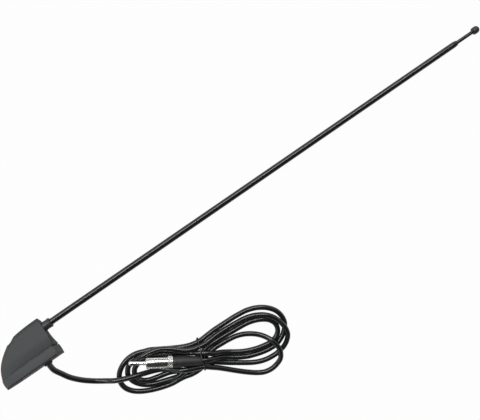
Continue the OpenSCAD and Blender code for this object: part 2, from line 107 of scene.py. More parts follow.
# %% Route
LEAD_POINTS = [
    (11.2, -6.3, 1.2), (13.4, -11.9, 0.2), (15.5, -17.4, -1.7), (18.1, -22.4, -4.1), (21.3, -27.1, -6.4),
    (25.2, -31.4, -8.1), (28.2, -34, -8.5), (33, -37.2, -7.7), (37.8, -39.7, -5.5), (43, -41.9, -4.2),
    (48.5, -44.1, -3.9), (53.8, -46.3, -4.4), (58.6, -48.8, -6.5), (63.5, -51.3, -8.1), (68.8, -53.8, -8.1),
    (73.7, -56.5, -6.4), (78, -59.5, -3.7), (82.7, -62.3, -1.2), (87.8, -65.4, -2), (93, -68.3, -3.2),
    (96.3, -70.4, -3.5), (100.3, -74.6, -5), (103.9, -78.9, -7.3), (107.7, -83.3, -8.4),
    (111.8, -87.7, -8.5), (116, -92, -8.5), (120.3, -96.1, -8.5), (124.8, -99.9, -8.5),
    (129.8, -102.9, -8.5), (135.4, -104.1, -8.5), (141, -103.2, -8), (145.5, -100.3, -6),
    (148.1, -95.4, -4.3), (148.7, -91.5, -4.2), (148, -85.7, -4.5), (145.6, -80.6, -6.5),
    (142.1, -76.1, -8.1), (137.7, -72.1, -8.5), (132.6, -68.8, -8.5), (127.1, -66.6, -8.5),
    (121.3, -65.5, -8.5), (115.4, -64.9, -8.5), (109.7, -64.4, -8.2), (103.9, -64.7, -7.6),
    (98.3, -65.9, -7.6), (92.6, -66.8, -7.6), (86.9, -66.9, -8), (83.2, -66, -8.5), (78.4, -62.9, -8.5),
    (73.3, -60, -8.5), (67.8, -58.3, -8.5), (62.3, -56.8, -8.4), (57.1, -54.6, -7.2), (53, -51.1, -6.6),
    (51.5, -46.4, -7.9), (53.8, -42.2, -8.5), (58.7, -40.1, -8.5), (64.8, -39.7, -8.5), (70.3, -41.7, -8.5),
    (75.3, -45, -8.5), (78.6, -47.2, -8.5), (83.6, -50.3, -8.5), (88.6, -53.6, -8.3), (93.5, -56.7, -7.1),
    (98.3, -59.2, -4.5), (102.9, -62.6, -3.3), (107.2, -66.5, -4.5), (111.5, -69.6, -7.1),
    (116.1, -73.2, -8.4), (120.7, -76.7, -8.5), (125.6, -79.9, -8.5), (130.7, -82.4, -8.5),
    (136, -84.4, -8.5), (141.6, -85.8, -8.5), (145.3, -86.3, -8.5), (151, -85.6, -8.5),
    (155.5, -82.3, -8.5), (156.9, -76.9, -8.5), (154.8, -71.7, -8.5), (150.4, -67.8, -8.5),
    (145.2, -65.1, -8.5), (139.5, -63.4, -8.5), (133.7, -62.6, -8.5), (127.7, -62, -8.5),
    (121.7, -61.3, -8.5), (115.7, -60.8, -8.5), (109.7, -60.3, -8), (105.7, -60.3, -7.7),
    (99.9, -61.4, -7.6), (93.9, -62.5, -7.7), (88.2, -63, -7), (82.7, -64.1, -4.9), (77.1, -65.1, -5.2),
    (71.6, -64.2, -7.2), (66.1, -62.7, -8.4), (60.7, -60.8, -8.5), (55.4, -58.1, -8.5), (50.9, -54.2, -8.5),
    (47.8, -49.1, -8.5), (47.3, -43.4, -8.5), (50.3, -38.8, -8.5), (53.6, -37.2, -8), (59.1, -36.6, -6.6),
    (64.8, -37, -4.9), (70.6, -37.7, -4.4), (76.3, -39.5, -4.5), (81.2, -42.6, -4.5), (85.6, -46.5, -4.5),
    (89.8, -50.5, -4.4), (94.8, -53.6, -4.3), (100.2, -55.4, -4.7), (105.8, -56.6, -5.4),
    (111.4, -56.7, -6.4), (117, -56.9, -7.9), (120.8, -57.2, -8.4), (126.6, -57.7, -8.5),
    (132.4, -58.3, -8.5), (138.1, -59, -8.5), (143.8, -60.3, -8.2), (149.3, -62.6, -7.5),
    (154.3, -66, -6.7), (158.1, -70.6, -6.2), (160.4, -76.2, -5.4), (161.2, -82, -4.4),
    (160.2, -87.7, -5.4), (157.1, -92.3, -7.5), (152.3, -95.3, -8.5), (146.6, -96.3, -8.5),
    (142.7, -96.4, -8.5), (136.9, -95.6, -8.5), (131.4, -93.8, -8.5), (126.2, -91, -8.5),
    (121.4, -87.6, -8.5), (116.7, -84, -8.5), (111.9, -80.3, -8.5), (107.2, -76.4, -8.3),
    (102.7, -72.5, -7.7), (97.2, -70.6, -7.6), (91.2, -71, -7.6), (85.3, -70.7, -8.1), (79.4, -69.2, -8.5),
    (75.4, -68.5, -8.5), (69.6, -67.8, -8.5), (63.8, -66.2, -8.5), (58.3, -64.2, -8.5), (52.9, -61.7, -8.5),
    (47.7, -58.6, -8.5), (43.2, -54.6, -8.5), (40.3, -49.4, -8.5), (40.2, -43.5, -8.5), (43.3, -38.3, -8.5),
    (48.4, -34.8, -8.5), (54.5, -33, -8.5), (60.8, -33.4, -8.5), (66.9, -35.7, -8.5), (70.7, -37.2, -8.5),
    (75.8, -40.4, -8.5), (81.1, -43.8, -8.5), (86.3, -47, -8.5), (91.9, -49.9, -8), (97.6, -52, -7.6),
    (103.7, -53.1, -7.6), (109.8, -53, -7.8), (116, -52.9, -8.4), (122.1, -53.1, -8.5),
    (128.3, -53.4, -8.5), (134.4, -53.7, -8.5), (140.5, -54.4, -8.5), (144.5, -55.1, -8.5),
    (150.2, -57.1, -8.5), (155.3, -60.1, -8.5), (159.7, -64.1, -8.5), (162.9, -69.1, -8.5),
    (164.1, -74.9, -8.5), (163, -80.6, -8.5), (159.3, -85.2, -8.5), (154.5, -88.5, -8.5),
    (148.9, -90.3, -8.5), (143.2, -90.2, -8.5), (137.6, -89.1, -8.5), (132.2, -87.4, -8.5),
    (126.9, -85.3, -8.5), (123.6, -83.5, -8.5), (118.8, -80.4, -8.5), (114.3, -76.9, -8.5),
    (109.9, -73.4, -7.6), (105.6, -70.3, -5.2), (101.4, -67.4, -2.6), (96.7, -64.2, -2),
]


def smooth_path(points, steps):
    """Catmull-Rom curve through the points, with that many steps from each to the next."""
    path = []
    for i in range(len(points) - 1):
        a, b, c, d = (points[min(max(k, 0), len(points) - 1)] for k in (i - 1, i, i + 1, i + 2))
        for k in range(steps):
            t = k / steps
            path.append(0.5 * (2 * b + (c - a) * t + (2 * a - 5 * b + 4 * c - d) * t * t
                               + (3 * b - a - 3 * c + d) * t ** 3))
    return path + [points[-1]]


STEPS_BETWEEN = 5
outlet = laid(OUTLET_S, -GROMMET_OUT, 0)
lead_path = smooth_path([outlet] + [Vector(p) * MM for p in LEAD_POINTS], STEPS_BETWEEN)

# %% [markdown]
# ## Helpers for making pieces
# Most pieces are round or follow a section, so two helpers make them: one links a mesh from points and
# faces, and one turns an outline round an axis as a lathe does. Every face is then made to look outwards.


# %% Mesh helpers
def add_mesh(name, points, faces):
    """A smooth mesh object with its place in its points, which are in metres."""
    mesh = bpy.data.meshes.new(name)
    mesh.from_pydata([tuple(p) for p in points], [], faces)
    for polygon in mesh.polygons:
        polygon.use_smooth = True
    piece = bpy.data.objects.new(name, mesh)
    bpy.context.scene.collection.objects.link(piece)
    return piece


SAME_POINT = 1e-7


def face_outwards(piece):
    """Merges doubled points and turns every face outwards."""
    shape = bmesh.new()
    shape.from_mesh(piece.data)
    bmesh.ops.remove_doubles(shape, verts=shape.verts, dist=SAME_POINT)
    bmesh.ops.recalc_face_normals(shape, faces=shape.faces)
    shape.to_mesh(piece.data)
    shape.free()
    return piece


def turned(name, outline, place, sides=64, hollow=False):
    """A lathe piece. outline is (along, radius) in mm, place puts (along, across, up) in the frame.
    A hollow outline closes on itself; any other starts and ends on the axis."""
    points, faces = [], []
    for along, radius in outline:
        for k in range(sides):
            turn = 2 * math.pi * k / sides
            points.append(place(along, radius * math.cos(turn), radius * math.sin(turn)))
    rings = len(outline)
    for i in range(rings if hollow else rings - 1):
        for k in range(sides):
            a, b = i * sides + k, i * sides + (k + 1) % sides
            c, d = (b + sides) % len(points), (a + sides) % len(points)
            faces.append((a, b, c, d))
    return face_outwards(add_mesh(name, points, faces))


print("makers:", add_mesh.__name__, "and", turned.__name__)

# %% [markdown]
# ## Helpers for finishing pieces
# A moulded or turned edge is never quite sharp, and light shows that. A real rounding is a Bevel, while a
# corner that stays crisp only has to stop the smooth shading. Holes are Booleans. Modifiers and node
# trees alike end as a plain mesh, because that is what the frame takes.


# %% Finishing helpers
def keep_edges(piece, angle):
    """Marks edges sharper than the angle in degrees, so that smooth shading stops there."""
    shape = bmesh.new()
    shape.from_mesh(piece.data)
    for edge in shape.edges:
        if len(edge.link_faces) == 2 and edge.calc_face_angle() > math.radians(angle):
            edge.smooth = False
    shape.to_mesh(piece.data)
    shape.free()
    return piece


def soften(piece, width, segments, angle):
    """Rounds the edges sharper than the angle to that width in mm, as the piece's own mesh."""
    bevel = piece.modifiers.new("edge rounding", "BEVEL")
    bevel.width = width * MM
    bevel.segments = segments
    bevel.limit_method = "ANGLE"
    bevel.angle_limit = math.radians(angle)
    bevel.harden_normals = False
    return as_plain_mesh(piece)


def as_plain_mesh(piece):
    """Applies every modifier of a piece, Geometry Nodes among them."""
    graph = bpy.context.evaluated_depsgraph_get()
    mesh = bpy.data.meshes.new_from_object(piece.evaluated_get(graph))
    piece.modifiers.clear()
    old = piece.data
    piece.data = mesh
    bpy.data.meshes.remove(old)
    return piece


def cut_out(piece, cutters):
    """Takes the cutters' shapes out of a piece with Booleans, and the cutters out of the scene."""
    for cutter in cutters:
        cut = piece.modifiers.new("hole", "BOOLEAN")
        cut.object = cutter
        cut.solver = "EXACT"
    as_plain_mesh(piece)
    for cutter in cutters:
        bpy.data.objects.remove(cutter)
    return face_outwards(piece)


print("finishers:", ", ".join(f.__name__ for f in (keep_edges, soften, as_plain_mesh, cut_out)))

# %% [markdown]
# ## Helpers for node trees
# Finishes, the swept lead and the white sheet are all node trees. Three helpers keep them readable: one
# starts a tree with named sockets, one adds a node with its values, and one draws the wires.


# %% Node helpers
def new_tree(kind, name, inputs, outputs):
    """A node tree with its two ends. Its sockets are given as label: type."""
    tree = bpy.data.node_groups.new(name, kind)
    for way, sockets in (("INPUT", inputs), ("OUTPUT", outputs)):
        for label, what in sockets.items():
            tree.interface.new_socket(label, in_out=way, socket_type="NodeSocket" + what)
    return tree, tree.nodes.new("NodeGroupInput"), tree.nodes.new("NodeGroupOutput")


def add_node(tree, kind, values=None, **settings):
    """A node with plain settings, and values for its inputs by name or number."""
    node = tree.nodes.new(kind)
    for label, value in settings.items():
        setattr(node, label, value)
    for label, value in (values or {}).items():
        node.inputs[label].default_value = value
    return node


def wire(tree, *wires):
    """Links nodes; each wire is (node, output, node, input), sockets by name or number."""
    for start, output, end, socket in wires:
        tree.links.new(start.outputs[output], end.inputs[socket])


print("node helpers:", ", ".join(f.__name__ for f in (new_tree, add_node, wire)))

# %% [markdown]
# ## Shared finishes
# Two shader groups are used by several materials. "moulding grain" gives the fine pebbled skin of
# moulded plastic and rubber: a height for the bump and a slow tone that makes large areas uneven.
# "turning marks" gives fine lines round a turned metal piece. Each group puts out only what varies.


# %% Shader groups
PIT_SHARE = 0.5


def grain_group():
    """Fine noise with shallow pits as the height, and a slow noise as the tone."""
    group, given, out = new_tree("ShaderNodeTree", "moulding grain",
                                 {"Position": "Vector", "Grain size": "Float", "Patch size": "Float"},
                                 {"Height": "Float", "Tone": "Float"})
    fine = add_node(group, "ShaderNodeTexNoise", {"Detail": 4, "Roughness": 0.65})
    pits = add_node(group, "ShaderNodeTexVoronoi")
    patch = add_node(group, "ShaderNodeTexNoise", {"Detail": 5})
    mixed = add_node(group, "ShaderNodeMath", {1: PIT_SHARE}, operation="MULTIPLY_ADD")
    for texture, size in ((fine, "Grain size"), (pits, "Grain size"), (patch, "Patch size")):
        wire(group, (given, "Position", texture, "Vector"), (given, size, texture, "Scale"))
    wire(group, (pits, "Distance", mixed, 0), (fine, "Fac", mixed, 2),
         (mixed, 0, out, "Height"), (patch, "Fac", out, "Tone"))
    return group


def turning_group():
    """Lines at even places along an axis as the height, and soft stains as the tone."""
    group, given, out = new_tree("ShaderNodeTree", "turning marks",
                                 {"Along": "Float", "Lines": "Float", "Position": "Vector"},
                                 {"Height": "Float", "Tone": "Float"})
    scaled = add_node(group, "ShaderNodeMath", operation="MULTIPLY")
    lines = add_node(group, "ShaderNodeTexNoise", {"Detail": 6, "Scale": 1}, noise_dimensions="1D")
    stains = add_node(group, "ShaderNodeTexNoise", {"Scale": 220, "Detail": 4})
    wire(group, (given, "Along", scaled, 0), (given, "Lines", scaled, 1), (scaled, 0, lines, "W"),
         (given, "Position", stains, "Vector"), (lines, "Fac", out, "Height"), (stains, "Fac", out, "Tone"))
    return group


GRAIN, TURNING = grain_group(), turning_group()
print("shader groups:", GRAIN.name, "and", TURNING.name)

# %% [markdown]
# ## Materials
# The whole object is black, so its finishes differ by sheen and grain, not by colour. Each material
# mixes two near tones by a slow patchiness, varies its roughness with it and has a fine bump. The
# housing is matt and a dark grey, because plain black would lose its shape. The lead's jacket and the
# mast's enamel are smooth and nearly black, and their shape shows as one streak of light.


# %% Material makers
GRAIN_DEPTH, LINES_DEPTH, LINES_BUMP, LINES_SCALE = 0.0001, 0.00003, 0.15, 4000
TONE_RANGE = (0.3, 0.7)


def finish_base(name, group, dark, light, rough, bump, depth):
    """A material whose colour, roughness and bump follow a group's tone and height."""
    material = bpy.data.materials.new(name)
    material.use_nodes = True
    tree = material.node_tree
    shader = tree.nodes["Principled BSDF"]
    place = add_node(tree, "ShaderNodeTexCoord")
    marks = add_node(tree, "ShaderNodeGroup", node_tree=group)
    colours = add_node(tree, "ShaderNodeMix", {6: (*dark, 1), 7: (*light, 1)}, data_type="RGBA")
    span = add_node(tree, "ShaderNodeMapRange", {"From Min": TONE_RANGE[0], "From Max": TONE_RANGE[1],
                                                 "To Min": rough[0], "To Max": rough[1]})
    relief = add_node(tree, "ShaderNodeBump", {"Strength": bump, "Distance": depth})
    wire(tree, (place, "Object", marks, "Position"), (marks, "Tone", colours, 0),
         (marks, "Tone", span, "Value"), (marks, "Height", relief, "Height"),
         (colours, 2, shader, "Base Color"), (span, 0, shader, "Roughness"), (relief, 0, shader, "Normal"))
    return material, shader, marks, tree, place


def grained(name, dark, light, rough, bump, grain=2500, patch=60, specular=0.5):
    """Moulded plastic or rubber."""
    material, shader, marks = finish_base(name, GRAIN, dark, light, rough, bump, GRAIN_DEPTH)[:3]
    marks.inputs["Grain size"].default_value = grain
    marks.inputs["Patch size"].default_value = patch
    shader.inputs["Specular IOR Level"].default_value = specular
    return material


def metal(name, dark, light, rough, turn=0.0):
    """Turned or drawn metal with fine lines across its axis, which lies turned from X in plan."""
    material, shader, marks, tree, place = finish_base(name, TURNING, dark, light, rough,
                                                       LINES_BUMP, LINES_DEPTH)
    marks.inputs["Lines"].default_value = LINES_SCALE
    facing = add_node(tree, "ShaderNodeMapping", {"Rotation": (0, 0, turn)})
    split = add_node(tree, "ShaderNodeSeparateXYZ")
    wire(tree, (place, "Object", facing, "Vector"), (facing, "Vector", split, 0),
         (split, "X", marks, "Along"))
    shader.inputs["Metallic"].default_value = 1.0
    return material


def wear(finish, piece):
    """Gives a piece its one material."""
    piece.data.materials.clear()
    piece.data.materials.append(finish)
    return piece


print("finish makers:", ", ".join(f.__name__ for f in (grained, metal, wear)))

# %% Materials
housing_plastic = grained("housing plastic", (0.064, 0.068, 0.069), (0.080, 0.084, 0.085), (0.5, 0.62),
                          bump=0.15, grain=2600, patch=45, specular=0.07)
foot_plastic = grained("foot plastic", (0.062, 0.067, 0.069), (0.078, 0.083, 0.085), (0.46, 0.58),
                       bump=0.15, grain=2600, patch=60, specular=0.1)
gasket_rubber = grained("gasket rubber", (0.010, 0.010, 0.010), (0.018, 0.018, 0.018), (0.6, 0.75),
                        bump=0.4, grain=1800, patch=90, specular=0.35)
jacket = grained("lead jacket", (0.006, 0.0065, 0.007), (0.010, 0.0105, 0.011), (0.13, 0.2),
                 bump=0.02, grain=1500, patch=130)
boot_rubber = grained("boot rubber", (0.009, 0.009, 0.009), (0.016, 0.016, 0.016), (0.5, 0.62),
                      bump=0.3, grain=1800, patch=120)
black_plastic = grained("black plastic", (0.012, 0.012, 0.012), (0.02, 0.02, 0.02), (0.38, 0.5),
                        bump=0.15, grain=2200, patch=80)
mast_black = grained("mast enamel", (0.007, 0.007, 0.0075), (0.011, 0.011, 0.012), (0.13, 0.2),
                     bump=0.02, grain=900, patch=50)
tie_plastic = grained("tie coating", (0.008, 0.008, 0.008), (0.014, 0.014, 0.014), (0.35, 0.5), bump=0.1)
PLUG_TURN = math.radians(-34.1)
nickel = metal("bright nickel", (0.62, 0.61, 0.58), (0.78, 0.77, 0.74), (0.12, 0.24), turn=-PLUG_TURN)
steel = metal("zinc steel", (0.45, 0.45, 0.44), (0.58, 0.58, 0.56), (0.3, 0.45))
brass = metal("turned brass", (0.56, 0.40, 0.16), (0.70, 0.53, 0.24), (0.2, 0.32))
copper = metal("bare copper", (0.62, 0.30, 0.16), (0.78, 0.45, 0.28), (0.25, 0.35))
insulator = grained("insulator", (0.70, 0.68, 0.60), (0.80, 0.79, 0.72), (0.4, 0.5), bump=0.05)
print(len(bpy.data.materials), "materials")

# %% [markdown]
# ## The lead
# The real lead is an extruded jacket, so its section never changes: a round profile swept along the
# route. Geometry Nodes do that best, because the route and the radius stay two plain inputs. The same
# tree later sweeps the tie's wires. The swept tube becomes a plain mesh before the frame hears of it.

# %% A tree that sweeps a round profile
def sweep_tree():
    """A circle swept along a line of edges, with closed ends and one material."""
    tree, given, out = new_tree(
        "GeometryNodeTree", "sweep a round profile",
        {"Geometry": "Geometry", "Radius": "Float", "Sides": "Int", "Finish": "Material"},
        {"Geometry": "Geometry"})
    line = add_node(tree, "GeometryNodeMeshToCurve")
    profile = add_node(tree, "GeometryNodeCurvePrimitiveCircle")
    sweep = add_node(tree, "GeometryNodeCurveToMesh", {"Fill Caps": True})
    smooth = add_node(tree, "GeometryNodeSetShadeSmooth")
    real = add_node(tree, "GeometryNodeRealizeInstances")
    finish = add_node(tree, "GeometryNodeSetMaterial")
    wire(tree, (given, "Geometry", line, "Mesh"), (given, "Radius", profile, "Radius"),
         (given, "Sides", profile, "Resolution"), (line, "Curve", sweep, "Curve"),
         (profile, "Curve", sweep, "Profile Curve"), (sweep, "Mesh", smooth, "Geometry"),
         (smooth, "Geometry", real, "Geometry"), (real, "Geometry", finish, "Geometry"),
         (given, "Finish", finish, "Material"), (finish, "Geometry", out, "Geometry"))
    return tree


SWEEP = sweep_tree()


def set_inputs(modifier, **values):
    """Sets a Geometry Nodes modifier's inputs by their sockets' identifiers."""
    for item in modifier.node_group.interface.items_tree:
        if item.item_type == "SOCKET" and item.in_out == "INPUT" and item.name in values:
            modifier[item.identifier] = values[item.name]


def swept(name, path, radius, finish, sides):
    """A round tube of that radius in metres along a path, as a plain closed mesh."""
    edges = [(i, i + 1) for i in range(len(path) - 1)]
    mesh = bpy.data.meshes.new(name)
    mesh.from_pydata([tuple(p) for p in path], edges, [])
    piece = bpy.data.objects.new(name, mesh)
    bpy.context.scene.collection.objects.link(piece)
    modifier = piece.modifiers.new("sweep", "NODES")
    modifier.node_group = SWEEP
    set_inputs(modifier, Radius=radius, Sides=sides, Finish=finish)
    as_plain_mesh(piece)
    return face_outwards(piece)


print("tree:", SWEEP.name)

# %% The lead
LEAD_SIDES = 18
lead = swept("lead", lead_path, CORD_R * MM, jacket, LEAD_SIDES)
print("lead mesh:", len(lead.data.polygons), "faces")

# %% [markdown]
# ## The plug
# The radio plug lies on the hank. It is a pin, a shell of four spring leaves, a knurled ring and a
# rubber boot, all round the same axis. So they are lathe shapes, and only the leaves and the knurls
# repeat round it. The axis rises a little, because the boot lies on two layers of lead.

# %% Plug's place
PLUG_TIP, PLUG_H, PLUG_RISE = (53.3, -34.8), 7.0, math.radians(1.6)
PIN_LEN, PIN_R, SHELL_LEN, SHELL_R, RING_LEN, BOOT_LEN = 12.6, 1.6, 19.4, 4.5, 4.2, 21.0
plug_axis = Vector((math.cos(PLUG_TURN) * math.cos(PLUG_RISE),
                    math.sin(PLUG_TURN) * math.cos(PLUG_RISE), math.sin(PLUG_RISE)))
plug_side = Vector((-math.sin(PLUG_TURN), math.cos(PLUG_TURN), 0))
plug_over = plug_axis.cross(plug_side)
plug_tip = Vector((PLUG_TIP[0], PLUG_TIP[1], TABLE_Z + PLUG_H)) * MM


def at_plug(along, side, over):
    """A point of the plug, in millimetres from its pin's tip, in metres."""
    return plug_tip + (plug_axis * along + plug_side * side + plug_over * over) * MM


print("plug's tip at", tuple(round(v, 4) for v in plug_tip), "m")

# %% Pin, insulator and boot
PIN_IN, DISC_IN = PIN_LEN + 8, PIN_LEN + 10
pin = turned("plug_tip_pin", [
    (0, 0), (0, 0.55), (0.25, 0.95), (0.9, 1.55), (1.4, 1.68), (2.3, 1.7), (2.9, PIN_R), (4.2, 1.45),
    (10.2, 1.45), (10.6, PIN_R), (PIN_IN, PIN_R), (PIN_IN, 0)], at_plug, sides=40)
wear(nickel, keep_edges(pin, 50))
core = turned("plug_insulating_disc", [
    (PIN_LEN + 1.6, 0), (PIN_LEN + 1.6, 1.8), (PIN_LEN + 1.9, 2.1), (PIN_LEN + 2.1, 3.5),
    (DISC_IN, 3.5), (DISC_IN, 0)], at_plug, sides=40)
wear(insulator, keep_edges(core, 50))
boot_start = PIN_LEN + SHELL_LEN
boot_outline = [(0, 0), (0, 4.0), (0.12, 4.25), (0.5, 4.38), (3.2, 4.38), (3.5, 4.3), (3.8, 4.3),
                (4.1, 4.36), (6.5, 4.25), (9.5, 4.0), (12.5, 3.75), (15.5, 3.52), (18, 3.38),
                (19.8, 3.32), (20.4, 3.22), (20.8, 2.95), (BOOT_LEN, 2.5), (BOOT_LEN, 0)]
boot = turned("plug_rubber_boot", [(boot_start + a, r) for a, r in boot_outline], at_plug, sides=48)
wear(boot_rubber, keep_edges(boot, 60))
print("pin, disc and boot:", len(pin.data.polygons), len(core.data.polygons), len(boot.data.polygons),
      "faces")

# %% Spring leaves of the shell
LEAVES, SLIT, LEAF_WALL, LEAF_STEPS, FIRST_SLIT = 4, 0.55, 0.5, 12, 45
LEAF_EDGE = 0.09


def shell_leaves(name):
    """The shell: separate leaves with slits between them, bulging in the middle."""
    outline = [(0.0, 4.12), (0.5, 4.2), (1.6, 4.38), (3.6, 4.47), (6.8, SHELL_R), (9.6, 4.47),
               (12.4, 4.38), (14.4, 4.3), (SHELL_LEN - RING_LEN, 4.3)]
    steps = LEAF_STEPS
    points, faces = [], []
    for leaf in range(LEAVES):
        half_gap = SLIT / 2 / SHELL_R
        first = math.radians(FIRST_SLIT + 360 / LEAVES * leaf) + half_gap
        last = first + 2 * math.pi / LEAVES - 2 * half_gap
        base, ring = len(points), 2 * (steps + 1)
        for along, radius in outline:
            for r, order in ((radius, range(steps + 1)), (radius - LEAF_WALL, range(steps, -1, -1))):
                for k in order:
                    turn = first + (last - first) * k / steps
                    points.append(at_plug(PIN_LEN + along, r * math.cos(turn), r * math.sin(turn)))
        for i in range(len(outline) - 1):
            for k in range(ring):
                a, b = base + i * ring + k, base + i * ring + (k + 1) % ring
                faces.append((a, b, b + ring, a + ring))
        end = base + (len(outline) - 1) * ring
        for k in range(steps):
            faces.append((base + k + 1, base + k, base + ring - 1 - k, base + ring - 2 - k))
            faces.append((end + k, end + k + 1, end + ring - 2 - k, end + ring - 1 - k))
    return soften(face_outwards(add_mesh(name, points, faces)), LEAF_EDGE, 2, 40)


shell = wear(nickel, shell_leaves("plug_shell_leaves"))
keep_edges(shell, 50)
print("shell:", len(shell.data.polygons), "faces")

# %% [markdown]
# ## The plug's ring
# The shell's leaves grow from a knurled ring: a plain ring with thirty straight ridges, which a hand can
# grip. A Geometry Nodes tree stands one ridge on each point of a circle, so their number, length and
# radius are inputs. Cut knurls would need many more faces for the same look.


# %% A tree that stands ridges round a ring
def knurl_tree():
    """Straight ridges at even places of a circle, joined to the piece that comes in."""
    tree, given, out = new_tree(
        "GeometryNodeTree", "ridges round a ring",
        {"Geometry": "Geometry", "Radius": "Float", "Ridge length": "Float", "Ridge width": "Float",
         "Ridges": "Int", "Finish": "Material"}, {"Geometry": "Geometry"})
    circle = add_node(tree, "GeometryNodeCurvePrimitiveCircle")
    spread = add_node(tree, "GeometryNodeCurveToPoints")
    ridge = add_node(tree, "GeometryNodeMeshCone", {"Vertices": 8})
    copies = add_node(tree, "GeometryNodeInstanceOnPoints")
    both = add_node(tree, "GeometryNodeJoinGeometry")
    real = add_node(tree, "GeometryNodeRealizeInstances")
    smooth = add_node(tree, "GeometryNodeSetShadeSmooth")
    finish = add_node(tree, "GeometryNodeSetMaterial")
    wire(tree, (given, "Radius", circle, "Radius"), (given, "Ridges", circle, "Resolution"),
         (circle, "Curve", spread, "Curve"), (given, "Ridges", spread, "Count"),
         (given, "Ridge width", ridge, "Radius Top"), (given, "Ridge width", ridge, "Radius Bottom"),
         (given, "Ridge length", ridge, "Depth"), (spread, "Points", copies, "Points"),
         (ridge, "Mesh", copies, "Instance"), (given, "Geometry", both, "Geometry"),
         (copies, "Instances", both, "Geometry"), (both, "Geometry", real, "Geometry"),
         (real, "Geometry", smooth, "Geometry"), (smooth, "Geometry", finish, "Geometry"),
         (given, "Finish", finish, "Material"), (finish, "Geometry", out, "Geometry"))
    return tree


KNURL = knurl_tree()
print("tree:", KNURL.name)


# %% Knurled ring
def upright(along, side, over):
    """A point of the ring while it stands on its own axis, in metres."""
    return Vector((side, over, along)) * MM


RIDGES, RIDGE_AT, RIDGE_R, RIDGE_IN, RING_R, RING_EDGE = 30, 4.16, 0.28, 0.45, 4.2, 0.25
ring = turned("plug_knurled_ring", [(a - RIDGE_IN, r) for a, r in (
    (0, 0), (0, 3.9), (RING_EDGE, RING_R), (RING_LEN - RING_EDGE, RING_R), (RING_LEN, 3.9),
    (RING_LEN, 0))], upright, sides=60)
ridges = ring.modifiers.new("ridges", "NODES")
ridges.node_group = KNURL
set_inputs(ridges, **{"Radius": RIDGE_AT * MM, "Ridges": RIDGES, "Finish": nickel,
                      "Ridge length": (RING_LEN - 2 * RIDGE_IN) * MM, "Ridge width": RIDGE_R * MM})
as_plain_mesh(ring)
ring_turn = Matrix((plug_side, plug_over, plug_axis)).transposed().to_4x4()
ring_place = at_plug(PIN_LEN + SHELL_LEN - RING_LEN + RIDGE_IN, 0, 0)
ring.data.transform(Matrix.Translation(ring_place) @ ring_turn)
keep_edges(ring, 40)
print("ring:", len(ring.data.polygons), "faces")

# %% [markdown]
# ## The tie
# A short coated wire holds the hank: pulled tight round the strands, its two ends twisted together.
# Its loop is the outline round everything that passes through it, so the script finds where the lead
# and the boot cut the tie's plane and wraps those circles. A tie drawn by hand would cut into them.

# %% What the tie goes round
TIE_AT, TIE_TURN, TIE_WIRE, TIE_REACH = (98.8, -61.8), math.radians(-17), 0.38, 25
BOOT_IN_TIE, BOOT_R_IN_TIE = 52, 3.4
tie_centre = Vector((TIE_AT[0], TIE_AT[1], TABLE_Z)) * MM
tie_along = Vector((math.cos(TIE_TURN), math.sin(TIE_TURN), 0))
tie_across = Vector((-math.sin(TIE_TURN), math.cos(TIE_TURN), 0))


def circles_in_tie():
    """Where the lead and the boot pass through the tie's plane: (across, height, radius) in mm."""
    boot_at = at_plug(BOOT_IN_TIE, 0, 0)
    found = [((boot_at - tie_centre).dot(tie_across) / MM, boot_at.z / MM - TABLE_Z, BOOT_R_IN_TIE)]
    for a, b in zip(lead_path, lead_path[1:]):
        before, after = (a - tie_centre).dot(tie_along), (b - tie_centre).dot(tie_along)
        if before * after <= 0 and before != after and (a - tie_centre).length < TIE_REACH * MM:
            p = a + (b - a) * (before / (before - after))
            found.append(((p - tie_centre).dot(tie_across) / MM, p.z / MM - TABLE_Z, CORD_R))
    return found


tie_circles = circles_in_tie()
print("the tie holds", len(tie_circles), "rounds")

# %% The taut loop round them
CIRCLE_POINTS, LOOP_POINTS, TIE_SPARE, TIE_LIFT = 40, 120, 0.12, 0.02


def wrap(circles, spare):
    """The taut outline round the circles, (across, height) pairs, that many mm outside them."""
    around = []
    for across, height, radius in circles:
        for k in range(CIRCLE_POINTS):
            turn = 2 * math.pi * k / CIRCLE_POINTS
            around.append((across + (radius + spare) * math.cos(turn),
                           height + (radius + spare) * math.sin(turn)))
    around = sorted(set(around))
    hull = []
    for order in (around, around[::-1]):
        side = []
        for p in order:
            while len(side) > 1 and ((side[-1][0] - side[-2][0]) * (p[1] - side[-2][1])
                                     - (side[-1][1] - side[-2][1]) * (p[0] - side[-2][0])) <= 0:
                side.pop()
            side.append(p)
        hull += side[:-1]
    lengths = [math.dist(a, b) for a, b in zip(hull, hull[1:] + hull[:1])]
    total, even = sum(lengths), []
    for k in range(LOOP_POINTS):
        rest, i = total * k / LOOP_POINTS, 0
        while rest > lengths[i]:
            rest -= lengths[i]
            i += 1
        a, b = hull[i], hull[(i + 1) % len(hull)]
        even.append(tuple(v + (w - v) * rest / lengths[i] for v, w in zip(a, b)))
    return even, total


tie_loop, tie_round = wrap(tie_circles, TIE_WIRE + TIE_SPARE)
tie_loop = [(v, max(h, TIE_WIRE + TIE_LIFT)) for v, h in tie_loop]
print("the tie is", round(tie_round, 1), "mm round")

# %% The tie's wire
SLANT, WAVE, OFFSET = 0.9, 0.35, 0.9
KNOT_CORNER, KNOT_WAY = (0.9, 0.5), (0.3, 0.86, 0.25)
TWIST_R, TWIST, TWIST_STEPS, END_LENGTHS, TIE_SIDES = 0.34, 2.5 * math.pi, 24, (1.5, 1.9), 10


def tie_point(across, height, along):
    """A point of the tie, in millimetres from its middle on the table, in metres."""
    return tie_centre + (tie_along * along + tie_across * across + Vector((0, 0, height))) * MM


